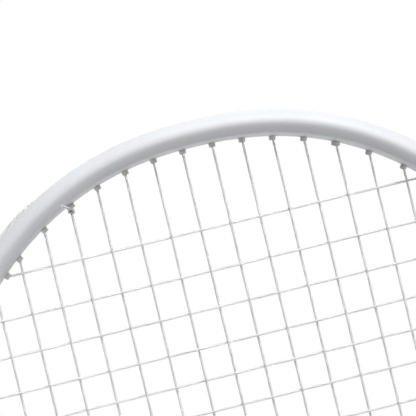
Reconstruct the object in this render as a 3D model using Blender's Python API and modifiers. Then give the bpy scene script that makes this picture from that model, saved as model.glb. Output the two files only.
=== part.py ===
"""Badminton racket: a strung head on a slim shaft, with a wrapped octagonal handle.

The butt face lies at z = 0, the shaft runs up +Z and the strings lie in the plane y = 0.
The front of the head looks along -Y. All sizes are in metres.
"""

import math

import bmesh
import bpy
from mathutils import Matrix, Vector

# Whole racket
RACKET_LENGTH = 0.675
FIT_CLEARANCE = 0.0003

# Head outline at its outer edge: two half superellipses that meet at the widest level
HEAD_HALF_WIDTH = 0.100
HEAD_TOP_HEIGHT = 0.128
HEAD_BOTTOM_HEIGHT = 0.124
TOP_FULLNESS = 2.20
BOTTOM_FULLNESS = 2.15
HEAD_STATIONS = 64

# Frame section: a crowned tube with a ridge inside and a string groove outside
FRAME_WIDTH = 0.0072
FRAME_DEPTH = 0.0100
CROWN_FULLNESS = 2.3
CROWN_POINTS = 4
RIDGE_HEIGHT = 0.00085
RIDGE_HALF_DEPTH = 0.0040
GROOVE_DEPTH = 0.0018
GROOVE_HALF_FLOOR = 0.00175
GROOVE_HALF_MOUTH = 0.00195

# Throat, where the head runs out into a socket for the shaft
THROAT_LENGTH = 0.021
THROAT_WALL = 0.0014
THROAT_FLARE = 0.0012
THROAT_RINGS = 6
THROAT_SIDES = 16
SOCKET_DEPTH = 0.0205

# Strings
STRING_DIAMETER = 0.00066
MAIN_PITCH = 0.00825
MAIN_EDGE_MARGIN = 0.0035
FIRST_CROSS_DROP = 0.0223
SECOND_CROSS_GAP = 0.01135
CROSS_WIDE_GAP = 0.0099
CROSS_NARROW_GAP = 0.0086
LAST_CROSS_RISE = 0.0230
WEAVE_GAP = 0.0003
END_WEAVE = 0.0025
LANE_GAP = 0.00012
LANE_RAMP = 0.0016
RUN_STEP = 0.009
KNOT_GAP = 0.00044
MAIN_KNOT_TURNS = 1.0
CROSS_KNOT_TURNS = 1.5
KNOT_STEPS = 8
TAIL_LENGTH = 0.0022

# Grommets: barrels through the frame, joined by strips that lie in the groove
GROMMET_SIDES = 6
BARREL_WALL = 0.00045
BARREL_TIP_WALL = 0.00025
BARREL_REACH = 0.0011
BORE_CLEARANCE = 0.00015
TIE_OFF_WALL = 0.00030
TIE_OFF_TIP_WALL = 0.00020
TIE_OFF_CLEARANCE = 0.00006
TIE_OFF_GAP = 0.00046
TIE_OFF_MAIN = 4
HOLE_CLEARANCE = 0.00025
HOLE_LAND = 0.0032
STRING_STAND_OFF = 0.0005
STRING_LEAN = 0.0010
STRIP_THICKNESS = 0.0004
STRIP_END = 0.0024
STRIP_JOINT_GAP = 0.0006
STRIP_STRING_GAP = 0.0002
STRIP_BARRELS = 8
THROAT_HOLE_SPREAD = 0.0050

# Shaft
SHAFT_RADIUS = 0.0035
SHAFT_BORE_RADIUS = 0.0022
SHAFT_SEAT = 0.093
SHAFT_SIDES = 16

# Handle
CORE_HALF_WIDTH = 0.0115
CORE_HALF_DEPTH = 0.0100
CORE_CHAMFER = 0.0056
HANDLE_TOP = 0.188
NECK_RADIUS = 0.0084
NECK_LENGTH = 0.012
CONE_LENGTH = 0.052
CONE_TOP_WALL = 0.0011
CONE_BASE_RADIUS = 0.0117
CONE_HOLLOW = 0.0012
CONE_POINTS = 6
CONE_SIDES = 20
CAP_HEIGHT = 0.008
CAP_FLOOR = 0.003
CAP_LIP = 0.0028
CAP_EDGE = 0.0010
GRIP_THICKNESS = 0.0017
GRIP_STRIP_PITCH = 0.022
GRIP_SEAM = 0.0004
GRIP_BEVEL = 0.0012
GRIP_EDGE_SHARE = 0.55
COLLAR_WIDTH = 0.0095

# Values that follow from the sizes above
STRING_RADIUS = STRING_DIAMETER / 2
HEAD_CENTRE = RACKET_LENGTH - HEAD_TOP_HEIGHT
HEAD_FOOT = HEAD_CENTRE - HEAD_BOTTOM_HEIGHT
INNER_WALL = -FRAME_WIDTH / 2
GROOVE_FLOOR = FRAME_WIDTH / 2 - GROOVE_DEPTH
STRIP_BOTTOM = GROOVE_FLOOR + HOLE_CLEARANCE
STRIP_TOP = STRIP_BOTTOM + STRIP_THICKNESS
STRING_LEVEL = STRIP_TOP + STRIP_STRING_GAP + STRING_RADIUS
BARREL_TIP = INNER_WALL - BARREL_REACH
STRING_BEND = BARREL_TIP - STRING_STAND_OFF
FLAT_SHARE = math.cos(math.pi / GROMMET_SIDES)
BARREL_BORE_RADIUS = (STRING_RADIUS + BORE_CLEARANCE) / FLAT_SHARE
TIE_OFF_SPREAD = (STRING_DIAMETER + TIE_OFF_GAP) / 2
TIE_OFF_BORE_RADIUS = (TIE_OFF_SPREAD + STRING_RADIUS + TIE_OFF_CLEARANCE) / FLAT_SHARE
LANE_OFFSET = TIE_OFF_SPREAD + STRING_DIAMETER + LANE_GAP
STRIP_HALF_WIDTH = GROOVE_HALF_FLOOR - FIT_CLEARANCE
WEAVE_HEIGHT = STRING_DIAMETER + WEAVE_GAP
KNOT_RADIUS = STRING_DIAMETER + KNOT_GAP
OCTAGON_GROWTH = 2 - math.sqrt(2)

DEPTH_AXIS = Vector((0, 1, 0))
WELD_DISTANCE = 1e-6
HALVINGS = 50
SPREAD_PASSES = 80


def clear_scene():
    for old in list(bpy.data.objects):
        bpy.data.objects.remove(old, do_unlink=True)


def new_collection(name):
    group = bpy.data.collections.new(name)
    bpy.context.scene.collection.children.link(group)
    return group


def new_material(name, colour, roughness, metallic=0.0):
    made = bpy.data.materials.new(name)
    made.use_nodes = True
    shader = made.node_tree.nodes["Principled BSDF"]
    shader.inputs["Base Color"].default_value = (*colour, 1)
    shader.inputs["Roughness"].default_value = roughness
    shader.inputs["Metallic"].default_value = metallic
    return made


def add_part(name, mesh, finish):
    mesh.name = name
    part = bpy.data.objects.new(name, mesh)
    PARTS.objects.link(part)
    mesh.materials.clear()
    mesh.materials.append(finish)
    return part


def add_cutter(name, mesh):
    tool = bpy.data.objects.new(name, mesh)
    CUTTERS.objects.link(tool)
    tool.hide_render = True
    tool.display_type = "WIRE"
    return tool


def combine(part, tool, operation):
    step = part.modifiers.new(tool.name, "BOOLEAN")
    step.operation = operation
    step.solver = "EXACT"
    step.object = tool


def mesh_from(shape, name):
    mesh = bpy.data.meshes.new(name)
    bmesh.ops.recalc_face_normals(shape, faces=shape.faces)
    shape.to_mesh(mesh)
    shape.free()
    return mesh


def evaluated_mesh(source):
    """Turn a curve object into a welded mesh in world space, and remove the curve."""
    bpy.context.view_layer.update()
    ready = source.evaluated_get(bpy.context.evaluated_depsgraph_get())
    shape = bmesh.new()
    made = bpy.data.meshes.new_from_object(ready)
    shape.from_mesh(made)
    bmesh.ops.transform(shape, matrix=source.matrix_world, verts=shape.verts)
    bmesh.ops.remove_doubles(shape, verts=shape.verts, dist=WELD_DISTANCE)
    mesh = mesh_from(shape, source.name)
    bpy.data.meshes.remove(made)
    bpy.data.objects.remove(source)
    return mesh


def poly_curve(name, points, cyclic, dimensions):
    curve = bpy.data.curves.new(name, "CURVE")
    curve.dimensions = dimensions
    line = curve.splines.new("POLY")
    line.points.add(len(points) - 1)
    for spot, point in zip(line.points, points):
        spot.co = (*point, 1)
    line.use_cyclic_u = cyclic
    holder = bpy.data.objects.new(name, curve)
    bpy.context.scene.collection.objects.link(holder)
    return holder


def swept_mesh(name, path, profile, cyclic):
    """Sweep a closed profile (outwards, depth) along a path (x, z) round the head."""
    section = poly_curve(name + "_section", [(out, deep, 0) for out, deep in profile], True, "2D")
    rail = poly_curve(name, [(x, z, 0) for x, z in path], cyclic, "3D")
    rail.data.twist_mode = "Z_UP"
    rail.data.bevel_mode = "OBJECT"
    rail.data.bevel_object = section
    rail.data.use_fill_caps = not cyclic
    rail.rotation_euler = (math.pi / 2, 0, 0)
    mesh = evaluated_mesh(rail)
    bpy.data.objects.remove(section)
    return mesh


def tube_mesh(name, points, radius):
    """A four-sided tube along points in world space, with closed ends."""
    cord = poly_curve(name, points, False, "3D")
    cord.data.bevel_depth = radius
    cord.data.bevel_resolution = 0
    cord.data.use_fill_caps = True
    return evaluated_mesh(cord)


def add_rod(shape, start, end, start_radius, end_radius, sides):
    """Add a closed rod between two points and return the face at its start."""
    axis = end - start
    place = Matrix.Translation((start + end) / 2) @ axis.to_track_quat("Z", "Y").to_matrix().to_4x4()
    made = bmesh.ops.create_cone(
        shape,
        cap_ends=True,
        segments=sides,
        radius1=start_radius,
        radius2=end_radius,
        depth=axis.length,
        matrix=place,
    )
    near = [corner for corner in made["verts"] if (corner.co - start).dot(axis) < axis.length_squared / 2]
    return next(face for face in near[0].link_faces if all(corner in near for corner in face.verts))


def octagon(grow):
    """Half width, half depth and chamfer of the handle's octagon, grown by a wall."""
    return CORE_HALF_WIDTH + grow, CORE_HALF_DEPTH + grow, CORE_CHAMFER + grow * OCTAGON_GROWTH


def add_bar(shape, grow, bottom, top):
    """Add a length of the handle's octagon, grown all round by a wall."""
    half_width, half_depth, chamfer = octagon(grow)
    size = Matrix.Diagonal((2 * half_width, 2 * half_depth, top - bottom, 1))
    place = Matrix.Translation((0, 0, (bottom + top) / 2)) @ size
    made = bmesh.ops.create_cube(shape, size=1, matrix=place)
    edges = {edge for corner in made["verts"] for edge in corner.link_edges}
    upright = [edge for edge in edges if abs(edge.verts[0].co.z - edge.verts[1].co.z) > (top - bottom) / 2]
    bmesh.ops.bevel(shape, geom=upright, offset=chamfer, offset_type="OFFSET", segments=1, affect="EDGES")


def bar_mesh(name, grow, bottom, top):
    shape = bmesh.new()
    add_bar(shape, grow, bottom, top)
    return mesh_from(shape, name)


def rod_mesh(name, bottom, top, radius, sides):
    shape = bmesh.new()
    add_rod(shape, Vector((0, 0, bottom)), Vector((0, 0, top)), radius, radius, sides)
    return mesh_from(shape, name)


def turned_part(name, profile, sides, finish):
    """Turn a closed profile (radius, height) about the shaft's axis."""
    mesh = bpy.data.meshes.new(name)
    count = len(profile)
    mesh.from_pydata([(r, 0, z) for r, z in profile], [(i, (i + 1) % count) for i in range(count)], [])
    part = add_part(name, mesh, finish)
    turn = part.modifiers.new("Turn", "SCREW")
    turn.steps = sides
    turn.render_steps = sides
    turn.use_merge_vertices = True
    turn.merge_threshold = WELD_DISTANCE
    return part


def head_point(angle, outwards):
    """A point of the head at an angle from its widest level, and the outward normal there."""
    along, up = math.cos(angle), math.sin(angle)
    half_width = HEAD_HALF_WIDTH - FRAME_WIDTH / 2
    height = (HEAD_TOP_HEIGHT if up >= 0 else HEAD_BOTTOM_HEIGHT) - FRAME_WIDTH / 2
    fullness = TOP_FULLNESS if up >= 0 else BOTTOM_FULLNESS
    reach = (abs(along / half_width) ** fullness + abs(up / height) ** fullness) ** (-1 / fullness)
    x, z = reach * along, reach * up
    steep_x = math.copysign(abs(x) ** (fullness - 1) / half_width**fullness, x)
    steep_z = math.copysign(abs(z) ** (fullness - 1) / height**fullness, z)
    normal = Vector((steep_x, 0, steep_z)).normalized()
    return Vector((x, 0, z + HEAD_CENTRE)) + normal * outwards, normal


def angle_where(test, low, high):
    """The angle between low and high where a rising or falling test passes zero."""
    rising = test(high) > test(low)
    for _ in range(HALVINGS):
        middle = (low + high) / 2
        if (test(middle) > 0) == rising:
            high = middle
        else:
            low = middle
    return (low + high) / 2


def frame_profile():
    """The frame's section, as (outwards, depth) points in order round it."""
    outer_half = FRAME_WIDTH / 2 / (1 - (2 * GROOVE_HALF_MOUTH / FRAME_DEPTH) ** CROWN_FULLNESS) ** (
        1 / CROWN_FULLNESS
    )
    ridge_foot = FRAME_WIDTH / 2 - RIDGE_HEIGHT
    inner_half = ridge_foot / (1 - (2 * RIDGE_HALF_DEPTH / FRAME_DEPTH) ** CROWN_FULLNESS) ** (
        1 / CROWN_FULLNESS
    )
    start = math.atan2(RIDGE_HALF_DEPTH / (FRAME_DEPTH / 2), -ridge_foot / inner_half)
    finish = math.atan2(GROOVE_HALF_MOUTH / (FRAME_DEPTH / 2), FRAME_WIDTH / 2 / outer_half)
    side = []
    for step in range(CROWN_POINTS + 2):
        turn = start + (finish - start) * step / (CROWN_POINTS + 1)
        out, deep = math.cos(turn), math.sin(turn)
        scale = (abs(out) ** CROWN_FULLNESS + deep**CROWN_FULLNESS) ** (-1 / CROWN_FULLNESS)
        half = inner_half if out < 0 else outer_half
        side.append((out * scale * half, deep * scale * FRAME_DEPTH / 2))
    side.append((GROOVE_FLOOR, GROOVE_HALF_FLOOR))
    back = [(out, -deep) for out, deep in reversed(side)]
    return [(INNER_WALL, 0)] + side + back


class Hole:
    """One string hole of the right half of the head, with the string's way through it."""

    def __init__(self, label, line_angle, heading, shared=False, slant=0.0):
        self.label = label
        self.shared = shared
        self.slant = slant
        spot, normal = head_point(line_angle, STRING_BEND)
        slide = heading.dot(Vector((-normal.z, 0, normal.x)))
        lean = min(STRING_STAND_OFF + BARREL_REACH, STRING_LEAN / max(abs(slide), 1e-6)) * slide
        self.lean_angle = lean / (spot - Vector((0, 0, HEAD_CENTRE))).length
        self.angle = line_angle - self.lean_angle

    def settle(self):
        """Work out the bore's axis and the string's bend once the hole's place is known."""
        middle, normal = head_point(self.angle, 0)
        upwards = Vector((-normal.z, 0, normal.x))
        self.slope = normal + upwards * (self.slant / (STRING_LEVEL - INNER_WALL))
        self.mouth = middle + normal * INNER_WALL
        self.bend, _ = head_point(self.angle + self.lean_angle, STRING_BEND)
        exit_spot = self.at(STRING_LEVEL)
        self.exit_angle = math.atan2(exit_spot.z - HEAD_CENTRE, exit_spot.x)
        self.bore_radius = TIE_OFF_BORE_RADIUS if self.shared else BARREL_BORE_RADIUS
        self.radius = self.bore_radius + (TIE_OFF_WALL if self.shared else BARREL_WALL)
        self.tip_radius = self.bore_radius + (TIE_OFF_TIP_WALL if self.shared else BARREL_TIP_WALL)
        self.first_string = DEPTH_AXIS * (-TIE_OFF_SPREAD if self.shared else 0)

    def at(self, outwards):
        return self.mouth + self.slope * (outwards - INNER_WALL)


def main_levels():
    """Distances of the mains from the middle, on one side of the head."""
    limit = HEAD_HALF_WIDTH - FRAME_WIDTH - MAIN_EDGE_MARGIN
    count = int(limit / MAIN_PITCH + 0.5)
    return [(index + 0.5) * MAIN_PITCH for index in range(count)]


def cross_levels():
    """Heights of the crosses, from the top down."""
    lowest = HEAD_FOOT + FRAME_WIDTH + LAST_CROSS_RISE
    level = RACKET_LENGTH - FRAME_WIDTH - FIRST_CROSS_DROP
    levels = [level]
    gap = SECOND_CROSS_GAP
    while level - gap >= lowest:
        level -= gap
        levels.append(level)
        gap = CROSS_WIDE_GAP if len(levels) % 2 == 0 else CROSS_NARROW_GAP
    return levels


def spread_holes(holes):
    """Push holes apart along the head until each keeps its land to the next."""
    for _ in range(SPREAD_PASSES):
        holes.sort(key=lambda hole: -hole.angle)
        for upper, lower in zip(holes, holes[1:]):
            here, _ = head_point(upper.angle, INNER_WALL)
            there, _ = head_point(lower.angle, INNER_WALL)
            short = HOLE_LAND - (here - there).length
            if short > 0:
                push = short / 2 / (here - Vector((0, 0, HEAD_CENTRE))).length
                upper.angle += push
                lower.angle -= push


def string_holes():
    """The holes of the right half of the head, by label, and in order from the top down."""
    quarter = math.pi / 2
    mains = main_levels()
    end_side = "bottom" if len(mains) % 2 else "top"
    holes = []
    for index, level in enumerate(mains):
        for side, low, high, heading in (("top", 0, quarter, -1), ("bottom", -quarter, 0, 1)):
            angle = angle_where(lambda a: head_point(a, STRING_BEND)[0].x - level, low, high)
            ends_here = index == len(mains) - 2 and side == end_side
            shared = index == TIE_OFF_MAIN or ends_here
            slant = THROAT_HOLE_SPREAD if side == "bottom" and index == 0 else 0.0
            holes.append(Hole((side, index), angle, Vector((0, 0, heading)), shared, slant))
    for index, level in enumerate(cross_levels()):
        angle = angle_where(lambda a: head_point(a, STRING_BEND)[0].z - level, -quarter, quarter)
        holes.append(Hole(("cross", index), angle, Vector((-1, 0, 0))))
    spread_holes(holes)
    for hole in holes:
        hole.settle()
    return {hole.label: hole for hole in holes}, holes


def mirrored(points):
    return [Vector((-point.x, point.y, point.z)) for point in points]


def groove_run(first, last, lane, first_shift, last_shift):
    """The string's way along the groove, from one hole's exit to another's."""
    middle = Vector((0, 0, HEAD_CENTRE))
    turn = 1 if last.exit_angle > first.exit_angle else -1
    crossing_over = last_shift.y * lane < 0
    ramp = turn * LANE_RAMP / (last.at(STRING_LEVEL) - middle).length
    start = first.exit_angle + turn * LANE_RAMP / (first.at(STRING_LEVEL) - middle).length
    finish = last.exit_angle - (2 * ramp if crossing_over else ramp)
    span = abs(finish - start) * (first.at(STRING_LEVEL) - middle).length
    steps = max(1, math.ceil(span / RUN_STEP))
    run = [first.at(STRING_LEVEL) + first_shift]
    for step in range(steps + 1):
        spot, _ = head_point(start + (finish - start) * step / steps, STRING_LEVEL)
        run.append(spot + DEPTH_AXIS * lane)
    if crossing_over:
        spot, _ = head_point(last.exit_angle - ramp, STRING_LEVEL)
        run.append(spot + last_shift)
    run.append(last.at(STRING_LEVEL) + last_shift)
    return run


def knot(level, start, way, hand, turns):
    """Turns of a string's end round a main, then its tail; way is up or down the main."""
    points = []
    for step in range(round(turns * KNOT_STEPS) + 1):
        turn = math.pi / 2 + hand * 2 * math.pi * step / KNOT_STEPS
        height = start + way * (STRING_DIAMETER + KNOT_GAP) * step / KNOT_STEPS
        across, deep = KNOT_RADIUS * math.cos(turn), KNOT_RADIUS * math.sin(turn)
        points.append(Vector((level + across, deep, height)))
    points.append(points[-1] + (points[-1] - points[-2]).normalized() * TAIL_LENGTH)
    return points


def tie_off(hole, hand, turns):
    """From a shared hole's bore to the knot on the main that comes out beside it."""
    way = 1 if hole.label[0] == "bottom" else -1
    start = hole.bend.z + way * KNOT_RADIUS
    return [hole.at(STRING_BEND) - hole.first_string] + knot(hole.bend.x, start, way, hand, turns)


def main_path(holes):
    """The main string: from the top middle it runs out to both sides, ending in two knots."""
    count = len(main_levels())
    half = [head_point(math.pi / 2, STRING_LEVEL)[0] - DEPTH_AXIS * LANE_OFFSET]
    spot, _ = head_point(holes["top", 0].exit_angle + LANE_RAMP / HEAD_TOP_HEIGHT, STRING_LEVEL)
    half += [spot - DEPTH_AXIS * LANE_OFFSET, holes["top", 0].at(STRING_LEVEL)]
    for index in range(count):
        ends = ("top", "bottom") if index % 2 == 0 else ("bottom", "top")
        enter, leave = holes[ends[0], index], holes[ends[1], index]
        half += [enter.at(STRING_BEND) + enter.first_string, enter.bend]
        half += [leave.bend, leave.at(STRING_BEND) + leave.first_string]
        last = index + 1 == count
        beside = holes[ends[1], index - 1 if last else index + 1]
        shift = -beside.first_string if last else beside.first_string
        half += groove_run(leave, beside, -LANE_OFFSET, leave.first_string, shift)
    half += tie_off(beside, 1, MAIN_KNOT_TURNS)
    return list(reversed(mirrored(half[1:]))) + half


def woven_cross(index, hole, holes):
    """One cross from left to right, in front of and behind the mains by turns."""
    level = hole.bend.z
    right = []
    left = []
    for count in range(len(main_levels())):
        above, below = holes["top", count].bend, holes["bottom", count].bend
        across = above.lerp(below, (above.z - level) / (above.z - below.z)).x
        if across < hole.bend.x and below.z < level < above.z:
            front = (count + index) % 2 == 1
            depth = -WEAVE_HEIGHT if front else WEAVE_HEIGHT
            right.append(Vector((across, depth, level)))
            left.append(Vector((-across, -depth, level)))
    row = list(reversed(left)) + right
    ends = []
    for near, flip in ((row[0], -1), (row[-1], 1)):
        bend, bore = hole.bend.copy(), hole.at(STRING_BEND)
        if bend.x - abs(near.x) < END_WEAVE:
            bend.y = near.y
        bend.x *= flip
        bore.x *= flip
        ends.append((bend, bore))
    return [ends[0][1], ends[0][0]] + row + [ends[1][0], ends[1][1]]


def cross_path(holes):
    """The cross string: from its knot at the top left, to and fro, to its knot at the bottom right."""
    count = len(cross_levels())
    start, finish = holes["top", TIE_OFF_MAIN], holes["bottom", TIE_OFF_MAIN]
    first, last = holes["cross", 0], holes["cross", count - 1]
    path = list(reversed(tie_off(start, 1, CROSS_KNOT_TURNS)))
    path = mirrored(path + groove_run(start, first, LANE_OFFSET, -start.first_string, Vector()))
    for index in range(count):
        hole = holes["cross", index]
        row = woven_cross(index, hole, holes)
        rightwards = index % 2 == 0
        path += row if rightwards else list(reversed(row))
        if hole is not last:
            run = groove_run(hole, holes["cross", index + 1], LANE_OFFSET, Vector(), Vector())
            path += run if rightwards else mirrored(run)
    run = groove_run(last, finish, LANE_OFFSET, Vector(), -finish.first_string)
    run += tie_off(finish, -1, CROSS_KNOT_TURNS)
    return path + (run if count % 2 else mirrored(run))


def least_gap(path):
    """The least gap between points of a string that lie apart along it, surface to surface."""
    apart = 6
    least = min(
        (one - other).length
        for place, one in enumerate(path)
        for other in path[place + apart :]
    )
    return least - STRING_DIAMETER


def throat_mesh():
    """The flare between the shaft's socket and the foot of the head, lofted from rings."""
    bottom = HEAD_FOOT - THROAT_LENGTH
    top = HEAD_FOOT + FRAME_WIDTH / 2
    neck = SHAFT_RADIUS + FIT_CLEARANCE + THROAT_WALL
    shape = bmesh.new()
    rings = []
    for step in range(THROAT_RINGS):
        share = step / (THROAT_RINGS - 1)
        half_width = neck + THROAT_FLARE * share**2
        half_depth = neck + (FRAME_DEPTH / 2 - FIT_CLEARANCE - neck) * share
        ring = []
        for count in range(THROAT_SIDES):
            turn = 2 * math.pi * count / THROAT_SIDES
            height = bottom + (top - bottom) * share
            ring.append(shape.verts.new((half_width * math.cos(turn), half_depth * math.sin(turn), height)))
        rings.append(ring)
    for low, high in zip(rings, rings[1:]):
        for count in range(THROAT_SIDES):
            after = (count + 1) % THROAT_SIDES
            shape.faces.new((low[count], low[after], high[after], high[count]))
    shape.faces.new(rings[0])
    shape.faces.new(rings[-1])
    return mesh_from(shape, "throat")


def make_frame(holes, finish):
    path = []
    for station in range(HEAD_STATIONS):
        spot, _ = head_point(2 * math.pi * station / HEAD_STATIONS, 0)
        path.append((spot.x, spot.z))
    frame = add_part("head_frame", swept_mesh("head_frame", path, frame_profile(), True), finish)
    combine(frame, add_cutter("throat", throat_mesh()), "UNION")
    drill = bmesh.new()
    for hole in holes:
        radius = hole.radius + HOLE_CLEARANCE
        for flip in (1, -1):
            start, end = hole.at(BARREL_TIP), hole.at(STRIP_TOP)
            start.x *= flip
            end.x *= flip
            add_rod(drill, start, end, radius, radius, GROMMET_SIDES)
    combine(frame, add_cutter("string_holes", mesh_from(drill, "string_holes")), "DIFFERENCE")
    foot = HEAD_FOOT - THROAT_LENGTH
    bore = SHAFT_RADIUS + FIT_CLEARANCE
    socket = rod_mesh("shaft_socket", foot - SOCKET_DEPTH, foot + SOCKET_DEPTH, bore, SHAFT_SIDES)
    combine(frame, add_cutter("shaft_socket", socket), "DIFFERENCE")
    return frame


def add_barrel(shape, hole, flip):
    """A grommet's barrel: a straight shank in the frame and a tapered nose inside the head."""
    tip, wall, seat = hole.at(BARREL_TIP), hole.at(INNER_WALL), hole.at((STRIP_BOTTOM + STRIP_TOP) / 2)
    for spot in (tip, wall, seat):
        spot.x *= flip
    cap = add_rod(shape, wall, seat, hole.radius, hole.radius, GROMMET_SIDES)
    nose = bmesh.ops.extrude_discrete_faces(shape, faces=[cap])["faces"][0]
    for corner in nose.verts:
        corner.co = tip + (corner.co - wall) * (hole.tip_radius / hole.radius)


def make_strip(name, barrels, low, high, finish):
    """One grommet strip between two angles, with its barrels as (hole, side) pairs."""
    angles = []
    for hole, flip in barrels:
        angles.append(hole.exit_angle if flip > 0 else math.pi - hole.exit_angle)
    angles.sort()
    middles = [(one + other) / 2 for one, other in zip(angles, angles[1:])]
    path = []
    for angle in [low] + middles + [high]:
        spot, _ = head_point(angle, 0)
        path.append((spot.x, spot.z))
    half = STRIP_HALF_WIDTH
    profile = [(STRIP_BOTTOM, -half), (STRIP_BOTTOM, half), (STRIP_TOP, half), (STRIP_TOP, -half)]
    strip = add_part(name, swept_mesh(name, path, profile, False), finish)
    shanks = bmesh.new()
    bores = bmesh.new()
    for hole, flip in barrels:
        add_barrel(shanks, hole, flip)
        start, end = hole.at(STRING_BEND), hole.at(STRING_LEVEL)
        start.x *= flip
        end.x *= flip
        add_rod(bores, start, end, hole.bore_radius, hole.bore_radius, GROMMET_SIDES)
    combine(strip, add_cutter(name + "_barrels", mesh_from(shanks, name + "_barrels")), "UNION")
    combine(strip, add_cutter(name + "_bores", mesh_from(bores, name + "_bores")), "DIFFERENCE")


def make_strips(holes, finish):
    """One strip across the top, and strips down each side to the throat."""
    angles = [hole.exit_angle for hole in holes]
    angles.append(angles[-1] - 2 * STRIP_END / HEAD_HALF_WIDTH)
    joints = [(one + other) / 2 for one, other in zip(angles, angles[1:])]
    slack = STRIP_JOINT_GAP / 2 / HEAD_HALF_WIDTH
    half = STRIP_BARRELS // 2
    low = joints[half - 1] + slack
    top = [(hole, flip) for hole in holes[:half] for flip in (1, -1)]
    make_strip("grommet_strip_top", top, low, math.pi - low, finish)
    for count, start in enumerate(range(half, len(holes), STRIP_BARRELS), 1):
        group = holes[start : start + STRIP_BARRELS]
        high = joints[start - 1] - slack
        low = joints[start + len(group) - 1] + slack
        make_strip(f"grommet_strip_right_{count}", [(hole, 1) for hole in group], low, high, finish)
        left = [(hole, -1) for hole in group]
        make_strip(f"grommet_strip_left_{count}", left, math.pi - high, math.pi - low, finish)


def make_shaft(finish):
    low = HANDLE_TOP - SHAFT_SEAT
    high = HEAD_FOOT - THROAT_LENGTH + SOCKET_DEPTH - FIT_CLEARANCE
    outer, bore = SHAFT_RADIUS, SHAFT_BORE_RADIUS
    turned_part("shaft", [(outer, high), (outer, low), (bore, low), (bore, high)], SHAFT_SIDES, finish)


def make_core(finish):
    core = add_part("handle_core", bar_mesh("handle_core", 0, CAP_FLOOR + FIT_CLEARANCE, HANDLE_TOP), finish)
    root, tip = HANDLE_TOP - NECK_LENGTH, HANDLE_TOP + NECK_LENGTH
    neck = rod_mesh("handle_neck", root, tip, NECK_RADIUS, CONE_SIDES)
    combine(core, add_cutter("handle_neck", neck), "UNION")
    low = HANDLE_TOP - SHAFT_SEAT - FIT_CLEARANCE
    high = HANDLE_TOP + 2 * NECK_LENGTH
    bore = rod_mesh("handle_bore", low, high, SHAFT_RADIUS + FIT_CLEARANCE, SHAFT_SIDES)
    combine(core, add_cutter("handle_bore", bore), "DIFFERENCE")


def make_cone(finish):
    """The cone that covers the top of the handle, hollow under and open for the shaft."""
    base = HANDLE_TOP + FIT_CLEARANCE
    top = HANDLE_TOP + CONE_LENGTH
    bore = SHAFT_RADIUS + FIT_CLEARANCE
    top_radius = bore + CONE_TOP_WALL
    profile = [(bore, top)]
    for step in range(CONE_POINTS):
        share = step / (CONE_POINTS - 1)
        dip = CONE_HOLLOW * math.sin(math.pi * share)
        radius = top_radius + (CONE_BASE_RADIUS - top_radius) * share - dip
        profile.append((radius, top + (base - top) * share))
    hollow = NECK_RADIUS + FIT_CLEARANCE
    roof = HANDLE_TOP + NECK_LENGTH + FIT_CLEARANCE
    profile += [(hollow, base), (hollow, roof), (bore, roof)]
    turned_part("cone_cap", profile, CONE_SIDES, finish)


def make_cap(finish):
    """The butt cap: a cup that the handle's end sits in, with its foot edge rounded off."""
    shape = bmesh.new()
    add_bar(shape, CAP_LIP, 0, CAP_HEIGHT)
    rim = [edge for edge in shape.edges if max(corner.co.z for corner in edge.verts) < CAP_EDGE / 2]
    bmesh.ops.bevel(shape, geom=rim, offset=CAP_EDGE, segments=2, affect="EDGES", profile=0.5)
    cap = add_part("butt_cap", mesh_from(shape, "butt_cap"), finish)
    cup = bar_mesh("butt_cup", FIT_CLEARANCE, CAP_FLOOR, CAP_HEIGHT + CAP_FLOOR)
    combine(cap, add_cutter("butt_cup", cup), "DIFFERENCE")


def grip_corners(grow):
    half_width, half_depth, chamfer = octagon(grow)
    flat_x, flat_y = half_width - chamfer, half_depth - chamfer
    quarter = [(half_width, flat_y), (flat_x, half_depth)]
    right = quarter + [(-x, y) for x, y in reversed(quarter)]
    return right + [(-x, -y) for x, y in right]


def make_grip(finish):
    """The grip: one strip wound up the octagon, its ends cut level with the cap and the collar."""
    bottom = CAP_HEIGHT + FIT_CLEARANCE
    top = HANDLE_TOP - COLLAR_WIDTH - FIT_CLEARANCE
    inner = grip_corners(FIT_CLEARANCE)
    edge = grip_corners(FIT_CLEARANCE + GRIP_THICKNESS * GRIP_EDGE_SHARE)
    outer = grip_corners(FIT_CLEARANCE + GRIP_THICKNESS)
    faces_round = len(inner)
    count = math.ceil(((top - bottom) / GRIP_STRIP_PITCH + 1) * faces_round)
    shape = bmesh.new()
    rings = []
    for step in range(1, count):
        turn = step / faces_round
        low = min(max(bottom + GRIP_STRIP_PITCH * (turn - 1), bottom), top)
        high = min(max(bottom + GRIP_STRIP_PITCH * turn - GRIP_SEAM, bottom), top)
        bevel = min(GRIP_BEVEL, (high - low) / 3)
        corner = step % faces_round
        levels = [
            (inner, low), (inner, high), (edge, high),
            (outer, high - bevel), (outer, low + bevel), (edge, low),
        ]
        rings.append([shape.verts.new((*loop[corner], height)) for loop, height in levels])
    for before, after in zip(rings, rings[1:]):
        for place in range(len(before)):
            beside = (place + 1) % len(before)
            shape.faces.new((before[place], before[beside], after[beside], after[place]))
    shape.faces.new(rings[0])
    shape.faces.new(rings[-1])
    add_part("grip_wrap", mesh_from(shape, "grip_wrap"), finish)


def make_collar(finish):
    """The band that closes the grip below the cone."""
    low, high = HANDLE_TOP - COLLAR_WIDTH, HANDLE_TOP - FIT_CLEARANCE
    band = bar_mesh("grip_collar", FIT_CLEARANCE + GRIP_THICKNESS, low, high)
    collar = add_part("grip_collar", band, finish)
    inside = bar_mesh("collar_bore", FIT_CLEARANCE, low - COLLAR_WIDTH, high + COLLAR_WIDTH)
    combine(collar, add_cutter("collar_bore", inside), "DIFFERENCE")


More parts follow.
